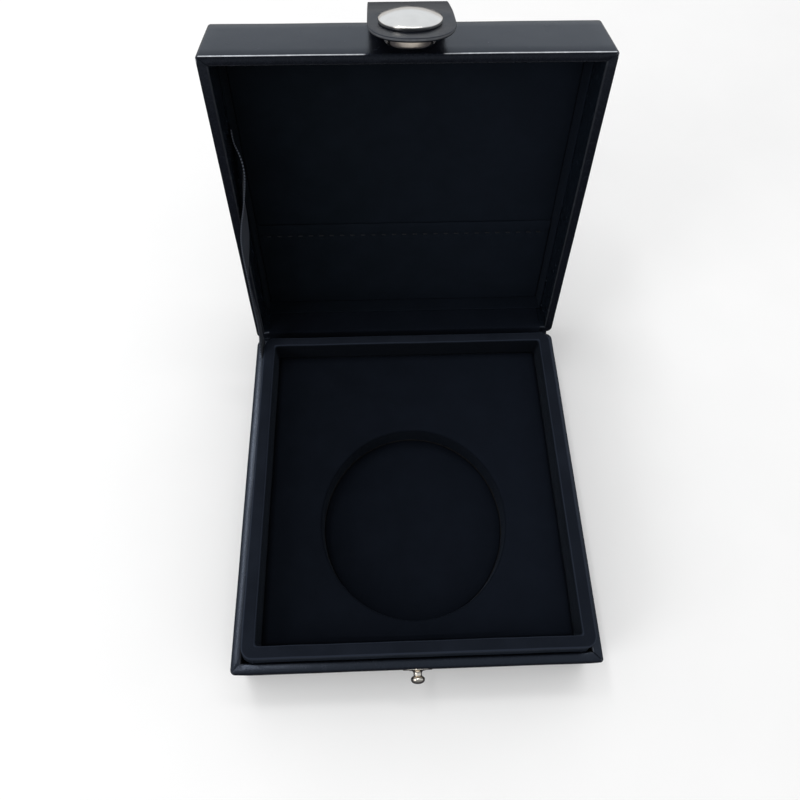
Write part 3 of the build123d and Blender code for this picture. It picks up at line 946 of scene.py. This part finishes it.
HEM_LINE = 30.3
HEM_EDGE = 34.3
HEM_LOW = 3.45
LINING_RISE = 0.2
LOWER_HALF_W = 42.55
STITCH_PITCH = 3.05
STITCH_COUNT = 27


def laid_grid(name, columns, rows, spot, width, length):
    """A sheet made of a grid, each corner laid at the place of its shares across and along."""
    piece = primitive(
        name, bpy.ops.mesh.primitive_grid_add, x_subdivisions=columns, y_subdivisions=rows, size=2
    )
    shares = [((corner.co.x + 1) / 2, (corner.co.y + 1) / 2) for corner in piece.data.vertices]
    lay_plan(piece, [((across - 0.5) * width, along * length, 0) for across, along in shares])
    for corner, (across, along) in zip(piece.data.vertices, shares):
        corner.co = spot(across, along)
    return piece


def lower_lining_spot(across, along):
    """The lower lining, sunk and puckered along its stitches, with a fuller hem beyond them."""
    x = (across * 2 - 1) * LOWER_HALF_W
    reach = HEM_LOW + along * (HEM_EDGE - HEM_LOW)
    to_line = reach - HEM_LINE
    rise = LINING_RISE
    rise -= LINING_RISE * math.exp(-((to_line / 0.45) ** 2))
    rise += 0.08 * math.exp(-(((to_line - 1.9) / 1.4) ** 2))
    rise -= 0.1 * math.cos(2 * math.pi * x / STITCH_PITCH) * math.exp(-((to_line / 1.3) ** 2))
    rise += 0.14 * noise.noise((x / 7, reach / 11, 3.1)) * min(1.0, (reach - HEM_LOW) / 4)
    rise -= 0.25 * max(0.0, (reach - HEM_EDGE + 0.5) / 0.5) ** 2
    wave = 0.12 * noise.noise((x / 5, 0, 7.7)) * along
    return (x, HALF_D - reach - wave, -INNER_PANEL + PANEL_CROWN + rise)


def lower_lining():
    """The second layer of velvet over the panel's lower third."""
    piece = laid_grid("lid_lower_cover", 168, 56, lower_lining_spot, 2 * LOWER_HALF_W, HEM_EDGE - HEM_LOW)
    thicken(piece, 0.42, 0.0)
    fit(piece, IN_LID, LID_VELVET, "lid", "lid_lower_lining")
    return piece


def stitch_row():
    """The hem's stitches: one is modelled, and the others are copies along the hem."""
    stitch = block("hem_stitch_row", (-0.8, -0.2, -0.16), (0.8, 0.2, 0.12))
    with editing(stitch):
        for x in (-0.55, -0.2, 0.2, 0.55):
            cut((x, 0, 0), (1, 0, 0))
        pick("VERT", lambda spot: abs(spot.co.x) > 0.7)
        bpy.ops.transform.resize(value=(1, 0.6, 1))
        bpy.ops.transform.translate(value=(0, 0, -0.16))
        round_off(lambda edge: not near(edge.verts[0].co.x, edge.verts[1].co.x), 0.09, 2)
    stitches = [stitch]
    for _ in range(STITCH_COUNT - 1):
        copy = stitch.copy()
        copy.data = stitch.data.copy()
        bpy.context.scene.collection.objects.link(copy)
        stitches.append(copy)
    height = -INNER_PANEL + PANEL_CROWN + LINING_RISE
    for n, one in enumerate(stitches):
        lean = math.radians(3.0 * noise.noise((n * 1.7, 0, 0)))
        shift = ((n - (STITCH_COUNT - 1) / 2) * STITCH_PITCH, HALF_D - HEM_LINE, height)
        one.data.transform(Matrix.Translation(shift) @ Matrix.Rotation(lean, 4, "Z"))
    only(stitch)
    for one in stitches:
        one.select_set(True)
    bpy.ops.object.join()
    fit(stitch, IN_LID, THREAD, "lid", "hem_stitches")
    return stitch


lid_wall_cover()
lid_panel_cover()
lower_cover = lower_lining()
stitches = stitch_row()

# ---- cloth hinge

GLUE_LINE = 0.03
SPINE_LEG = 12.0
SPINE_HALF_W = HALF_W - 1.5
HINGE_LINING = 0.22
HINGE_HALF_W = HALF_W - 4.0
HINGE_TUCK = 3.0
HINGE_RIPPLE = 0.05


def eased(points, radius, steps=5):
    """A run of points with its corners rounded."""
    run = [Vector(points[0])]
    for before, corner, after in zip(points, points[1:], points[2:]):
        before, corner, after = Vector(before), Vector(corner), Vector(after)
        back = corner + (before - corner).normalized() * min(radius, (before - corner).length / 2)
        on = corner + (after - corner).normalized() * min(radius, (after - corner).length / 2)
        for n in range(steps + 1):
            t = n / steps
            run.append(back * (1 - t) ** 2 + corner * 2 * t * (1 - t) + on * t * t)
    run.append(Vector(points[-1]))
    return run


def evenly(run, step):
    """A run of points with more put in, so that none is further from the next than a step."""
    full = [run[0]]
    for one, two in zip(run, run[1:]):
        count = max(1, math.ceil((two - one).length / step))
        full += [one.lerp(two, n / count) for n in range(1, count + 1)]
    return full


def paced(run):
    """The way from the start of a run to each of its points."""
    ways = [0.0]
    for one, two in zip(run, run[1:]):
        ways.append(ways[-1] + (two - one).length)
    return ways


def heading(run, n):
    """The direction of a run at one of its points."""
    return (run[min(n + 1, len(run) - 1)] - run[max(n - 1, 0)]).normalized()


def square_to_run(direction):
    """The direction square to a run in the side view."""
    return Vector((1, 0, 0)).cross(direction)


def laid_on_run(name, columns, run, spot, width, thickness):
    """A sheet with a row of corners at each point of a run, each at its spot by share across, row and way."""
    ways = paced(run)
    last = len(run) - 1

    def laid(across, along):
        n = round(along * last)
        return spot(across, n, ways[n])

    piece = laid_grid(name, columns, last, laid, width, ways[-1])
    for value in piece.data.attributes["plan"].data:
        value.vector[1] = ways[round(value.vector[1] / ways[-1] * last)]
    thicken(piece, thickness, 0.0)
    return piece, ways[-1]


def hinge_cloth(name, run, half_width, columns, thickness, finish, node):
    """A cloth across the box that follows a run in the side view, a little rippled, from base to lid."""

    def spot(across, n, way):
        x = (across * 2 - 1) * half_width
        lift = HINGE_RIPPLE * noise.noise((x / 6, way / 6, 1.3))
        return Vector((x, 0, 0)) + run[n] + square_to_run(heading(run, n)) * lift

    width = 2 * half_width
    cloth, length = laid_on_run(name, columns, run, spot, width, thickness)
    fit(cloth, AS_BUILT, finish, None, node)
    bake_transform(cloth)
    length * MM


spine_middle = GLUE_LINE + LEATHER / 2
apex_drop = spine_middle / math.tan((math.pi - OPEN_ANGLE) / 2)
spine_run = evenly(eased((
    (0, HINGE_Y + spine_middle, HINGE_Z - SPINE_LEG),
    (0, HINGE_Y + spine_middle, HINGE_Z - apex_drop),
    beside_hinge(-spine_middle, SPINE_LEG - CLOSED_GAP / 2),
), 0.9), 1.5)
hinge_cloth(
    "outer_hinge_cloth", spine_run, SPINE_HALF_W, 40, LEATHER, LEATHERETTE, "spine_leatherette",
)

lining_middle = GLUE_LINE + HINGE_LINING / 2
fold_y = HINGE_Y - (CLOSED_GAP / 2 - lining_middle) * (1 + opening_cos) / opening_sin
hinge_run = evenly(eased((
    (0, HALF_D - RIM - lining_middle, BASE_HEIGHT - HINGE_TUCK),
    (0, HALF_D - RIM - lining_middle, BASE_HEIGHT + lining_middle),
    (0, fold_y, BASE_HEIGHT + lining_middle),
    beside_hinge(RIM + lining_middle, -lining_middle),
    beside_hinge(RIM + lining_middle, LINING_START - lining_middle),
), 0.45), 0.7)
hinge_cloth(
    "inner_hinge_cloth", hinge_run, HINGE_HALF_W, 60, HINGE_LINING, BASE_VELVET, "spine_lining",
)

# ---- ribbon stay

SLOT_X = -43.05
SLOT_Y = 40.0
RIBBON_WIDTH = 6.0
RIBBON_THICK = 0.3
RIBBON_STEPS = 14


def ribbon_point(x, along, depth):
    """A point of the ribbon's way beside the lid."""
    return Vector((x, 0, 0)) + beside_hinge(along, depth)


# each post of the ribbon's way, and how many degrees the ribbon is turned about its own line there
ribbon_posts, ribbon_turns = zip(
    (Vector((SLOT_X, SLOT_Y, 15)), 0.0),
    (Vector((SLOT_X, SLOT_Y, COLLAR_TOP)), 0.0),
    (ribbon_point(SLOT_X, 12.0, -5.7), 6.0),
    (ribbon_point(-43.25, 28.8, -5.7), 12.0),
    (ribbon_point(-42.94, 41.8, -1.43), -9.0),
    (ribbon_point(-41.95, 52.7, 2.0), 11.5),
    (ribbon_point(-41.1, 60.3, 4.0), 13.0),
    (ribbon_point(-42.85, 65.4, 6.64), 13.0),
    (ribbon_point(-43.3, 68.5, 8.0), 12.5),
)


def through(posts, steps):
    """A smooth run through posts, which are points or numbers."""
    ends = (posts[0] * 2 - posts[1], *posts, posts[-1] * 2 - posts[-2])
    run = []
    for a, b, c, d in zip(ends, ends[1:], ends[2:], ends[3:]):
        once, twice, thrice = c - a, a * 2 - b * 5 + c * 4 - d, b * 3 - a - c * 3 + d
        for n in range(steps):
            t = n / steps
            run.append((b * 2 + once * t + twice * t * t + thrice * t ** 3) / 2)
    run.append(posts[-1])
    return run


def ribbon():
    """The grosgrain ribbon that stops the lid: out of its slot, up beside the rim, and glued in the lid."""
    run = through(ribbon_posts, RIBBON_STEPS)
    sides = []
    for n, turn in enumerate(through(ribbon_turns, RIBBON_STEPS)):
        tangent = heading(run, n)
        side = square_to_run(tangent).normalized()
        sides.append(Matrix.Rotation(math.radians(turn), 3, tangent) @ side)

    def spot(across, n, _):
        return run[n] + sides[n] * (across - 0.5) * RIBBON_WIDTH

    piece, _ = laid_on_run("ribbon", 12, run, spot, RIBBON_WIDTH, RIBBON_THICK)
    fit(piece, AS_BUILT, RIBBON, None, "ribbon_stay")
    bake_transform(piece)


ribbon()

# ---- fastening tab

STRAP_HALF = 9.05
STRAP_SHIFT = 0.25
STRAP_THICK = 0.9
STRAP_ROOT = 22.0
STRAP_STEPS = 8
TIP_LONGER = 1.17
CAP_PRESS = 0.2
BEND_START = -8.0
BEND_END = (0.5, 3.73)
CAP_SEAT = (20.3, 8.4)
STUD_BELOW_RIM = 5.0
CAP_TILT = math.radians(4.5)


def beside_lid(a, b, x=0.0):
    """A place in the lid's frame: from the lid's top towards its rim, and out from its front wall."""
    return Vector((x, -HALF_D - b, LID_HEIGHT - a))


half_strap = STRAP_THICK / 2
cap_post = (CAP_SEAT[0] + half_strap * math.sin(CAP_TILT), CAP_SEAT[1] - half_strap * math.cos(CAP_TILT))
# the middle of the strap in the side view: flat on the lid's top, round its edge, and out to the tip
strap_posts = (
    *((-half_strap, reach) for reach in (-STRAP_ROOT, -17.0, -12.0, -7.5, -4.0, -1.5)),
    (-0.5, 0.6), (-0.2, 2.5), (0.75, 4.05), (2.4, 4.85), (5.5, 5.65), (9.0, 6.4), (14.0, 7.35), cap_post,
    (26.0, 8.45), (29.2, 8.85), (31.8, 9.3),
)
strap_run = through([beside_lid(*post) for post in strap_posts], STRAP_STEPS)
strap_ways = paced(strap_run)
cap_along = strap_ways[STRAP_STEPS * strap_posts.index(cap_post)]


def strap_place(x, along, out):
    """A point of the strap, by its flat place, laid on the run."""
    n = max(k for k, way in enumerate(strap_ways[:-1]) if way <= along + 1e-6)
    share = (along - strap_ways[n]) / (strap_ways[n + 1] - strap_ways[n])
    tangent = heading(strap_run, n).lerp(heading(strap_run, n + 1), share)
    sideways = Vector((x + STRAP_SHIFT, 0, 0))
    return strap_run[n].lerp(strap_run[n + 1], share) + sideways - square_to_run(tangent).normalized() * out


def strap():
    """The fastening strap: two layers of leatherette with a rounded tip and pressed round the cap."""
    length = strap_ways[-1]
    piece = block("fastening_strap", (-STRAP_HALF, 0, -half_strap), (STRAP_HALF, length, half_strap))
    with editing(piece):
        round_off(lambda edge: upright(edge) and edge.verts[0].co.y > 1, STRAP_HALF - 0.01, 18)
        pick("VERT", lambda spot: spot.co.y > length - STRAP_HALF - 0.02)
        bpy.ops.transform.resize(value=(1, TIP_LONGER, 1), center_override=(0, length, 0))
        for height, width in ((half_strap, 0.14), (-half_strap, 0.45)):
            round_off(level_at(height), width, 3)
        cross_cuts(1.1, (-STRAP_HALF, 0, 0), (STRAP_HALF, length, 0), (0, 1))
    lay_plan(piece)
    for corner in piece.data.vertices:
        spot = corner.co
        from_cap = math.hypot(spot.x, spot.y - cap_along)
        if spot.z > 0:
            spot.z -= CAP_PRESS * math.exp(-(((from_cap - 6.9) / 0.9) ** 2))
        spot.z += 0.05 * noise.noise((spot.x / 5, spot.y / 5, 4.4))
        corner.co = strap_place(*spot)
    fit(piece, LID, STRAP_LEATHER, None, "tab_root", "tab_bend", "tab_flap")
    LID @ beside_lid(-half_strap, BEND_START) * MM
    LID @ beside_lid(*BEND_END) * MM
    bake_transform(piece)


strap()


def turned_part(name, profile, place, finish, body, node, segments=64):
    """A turned piece: a ring drawn up a profile of radii and heights, and closed at both ends."""
    first_radius, first_height = profile[0]
    piece = primitive(
        name, bpy.ops.mesh.primitive_circle_add, vertices=segments, radius=first_radius, fill_type="NGON"
    )
    with editing(piece):
        select_whole()
        bpy.ops.transform.translate(value=(0, 0, first_height))
        for (old_radius, old_height), (radius, height) in zip(profile, profile[1:]):
            bpy.ops.mesh.extrude_region_move(TRANSFORM_OT_translate={"value": (0, 0, height - old_height)})
            if radius:
                share = radius / old_radius
                bpy.ops.transform.resize(value=(share, share, 1), center_override=(0, 0, height))
            else:
                bpy.ops.mesh.merge(type="CENTER")
        face_outwards()
    fit(piece, place, finish, body, node, smooth=METAL_SMOOTH)


def dome(radius, low, high, steps):
    """Radii and heights of a shallow dome."""
    rise = high - low
    sphere = (radius * radius + rise * rise) / (2 * rise)
    angles = [math.asin(radius / sphere) * (1 - n / steps) for n in range(steps + 1)]
    return [(sphere * math.sin(angle), high - sphere * (1 - math.cos(angle))) for angle in angles]


# the cap's own frame: its underside on the strap, and Z out of the strap
CAP = LID @ Matrix.Translation(beside_lid(*CAP_SEAT)) @ Matrix.Rotation(math.pi / 2 - CAP_TILT, 4, "X")
UNDER_STRAP = CAP @ Matrix.Translation((0, 0, -STRAP_THICK)) @ Matrix.Rotation(math.pi, 4, "X")
stud_spot = (0, -HALF_D, BASE_HEIGHT - STUD_BELOW_RIM)
ON_FRONT = Matrix.Translation(stud_spot) @ Matrix.Rotation(math.pi / 2, 4, "X")

turned_part("snap_cap_dome", [
    (6.4, -0.1), (6.55, 0.0), (6.6, 0.12), (6.6, 0.6), (6.58, 0.68),
    *dome(6.5, 0.78, 2.25, 14)[:-1], (0, 2.25),
], CAP, CHROME, "tab", "snap_cap")
turned_part("snap_socket_body", [
    (5.6, -0.05), (5.7, 0.08), (5.7, 0.3), (5.5, 0.45), (5.45, 2.5), (5.4, 2.8), (5.2, 3.06), (4.9, 3.18),
    (4.5, 3.2), (4.0, 3.17), (3.3, 3.12), (2.85, 3.12), (2.6, 3.06), (2.5, 2.92), (2.5, 0.5), (2.4, 0.32),
    (2.2, 0.3), (0, 0.3),
], UNDER_STRAP, WARM_NICKEL, "tab", "snap_socket")
turned_part("snap_stud_body", [
    (3.6, -0.05), (3.72, 0.03), (3.72, 0.12), (3.6, 0.2), (2.2, 0.24), (1.35, 0.4), (1.1, 0.7), (1.05, 1.0),
    (1.05, 1.4), (1.25, 1.57), (1.62, 1.78), (1.75, 2.05), (1.75, 2.3), (1.66, 2.6), (1.4, 2.9), (0.95, 3.12),
    (0.45, 3.22), (0, 3.24),
], ON_FRONT, WARM_NICKEL, "base", "snap_stud", segments=48)

# ---- floor, light and camera

# how far round the box the paper is painted dark where metal mirrors it: painted shade
MIRRORED_SHADE_REACH = 0.35
FILL_LEVEL = 0.74
DARK_FRONT = 0.22

floor = primitive("floor", bpy.ops.mesh.primitive_plane_add, size=6.0)
paper = Finish("pale_paper", "floor", Roughness=0.9, Specular_IOR_Level=0.1)
table = paper.node("ShaderNodeTexCoord", output="Object")
grain = paper.clouds(table, 40.0, 4.0)
seen = paper.tint(grain, (0.95, 0.95, 0.95), (0.99, 0.99, 0.99))
# what polished metal mirrors: a painted shade on the paper round the box's foot, seen only in reflections,
# and the bright paper beyond it
away = paper.node("ShaderNodeVectorMath", {"operation": "LENGTH"}, {0: table}, "Value")
mirrored_painted_shade = paper.tint(away.fade(MIRRORED_SHADE_REACH, MIRRORED_SHADE_REACH + 0.3), (0.05, 0.05, 0.06), (0.8, 0.8, 0.8))
unseen = paper.tint(paper.ray("Glossy"), (0.8, 0.8, 0.8), mirrored_painted_shade)
paper.feed(Base_Color=paper.tint(paper.ray("Camera"), unseen, seen))
floor.data.materials.append(paper.material)

# a white studio, which polished surfaces mirror darker in front of the box
world = bpy.data.worlds.new("studio")
bpy.context.scene.world = world
world.use_nodes = True
world.cycles.sampling_method = "NONE"
studio = Nodes(world.node_tree)
_, backward, _ = studio.split(studio.node("ShaderNodeTexCoord", output="Generated"))
sky = backward.fade(-1.0, 0.4) * (1 - DARK_FRONT) + DARK_FRONT
seen_plain = studio.ray("Camera") + studio.ray("Transmission")
in_gloss = studio.ray("Glossy")
strength = seen_plain + in_gloss * sky + (1 - seen_plain - in_gloss) * FILL_LEVEL
background = studio.tree.nodes["Background"]
tone = studio.tint(in_gloss, (1, 1, 1), (0.85, 0.92, 1.0))
studio.tree.links.new(tone.socket, background.inputs["Color"])
studio.tree.links.new(strength.socket, background.inputs["Strength"])


def softbox(name, place, aim, size, power):
    """A square area lamp that looks at a point."""
    data = bpy.data.lights.new(name, "AREA")
    data.shape = "RECTANGLE"
    data.size, data.size_y = size
    data.energy = power
    lamp = bpy.data.objects.new(name, data)
    bpy.context.scene.collection.objects.link(lamp)
    lamp.location = place
    lamp.rotation_euler = (Vector(aim) - Vector(place)).to_track_quat("-Z", "Y").to_euler()


softbox("overhead_strip", (0.03, 0.22, 0.7), (0, 0, 0.08), (0.5, 0.07), 0.6)
softbox("left_strip", (-0.19, 0.17, 0.7), (-0.19, 0.17, 0), (0.06, 0.42), 0.8)
softbox("left_softbox", (-0.6, -0.3, 0.5), (0, 0, 0.05), (0.3, 0.3), 1.1)

lens = bpy.data.cameras.new("camera")
lens.sensor_fit = "HORIZONTAL"
lens.sensor_width = 36.0
lens.lens = 29.7
lens.shift_y = -0.125
lens.clip_start = 0.01
camera = bpy.data.objects.new("camera", lens)
bpy.context.scene.collection.objects.link(camera)
camera.location = (-6.72 * MM, -46.98 * MM, 204.12 * MM)
camera.rotation_euler = [math.radians(angle) for angle in (29.73, -0.68, -1.78)]
bpy.context.scene.camera = camera

bpy.context.scene.view_settings.view_transform = "Standard"
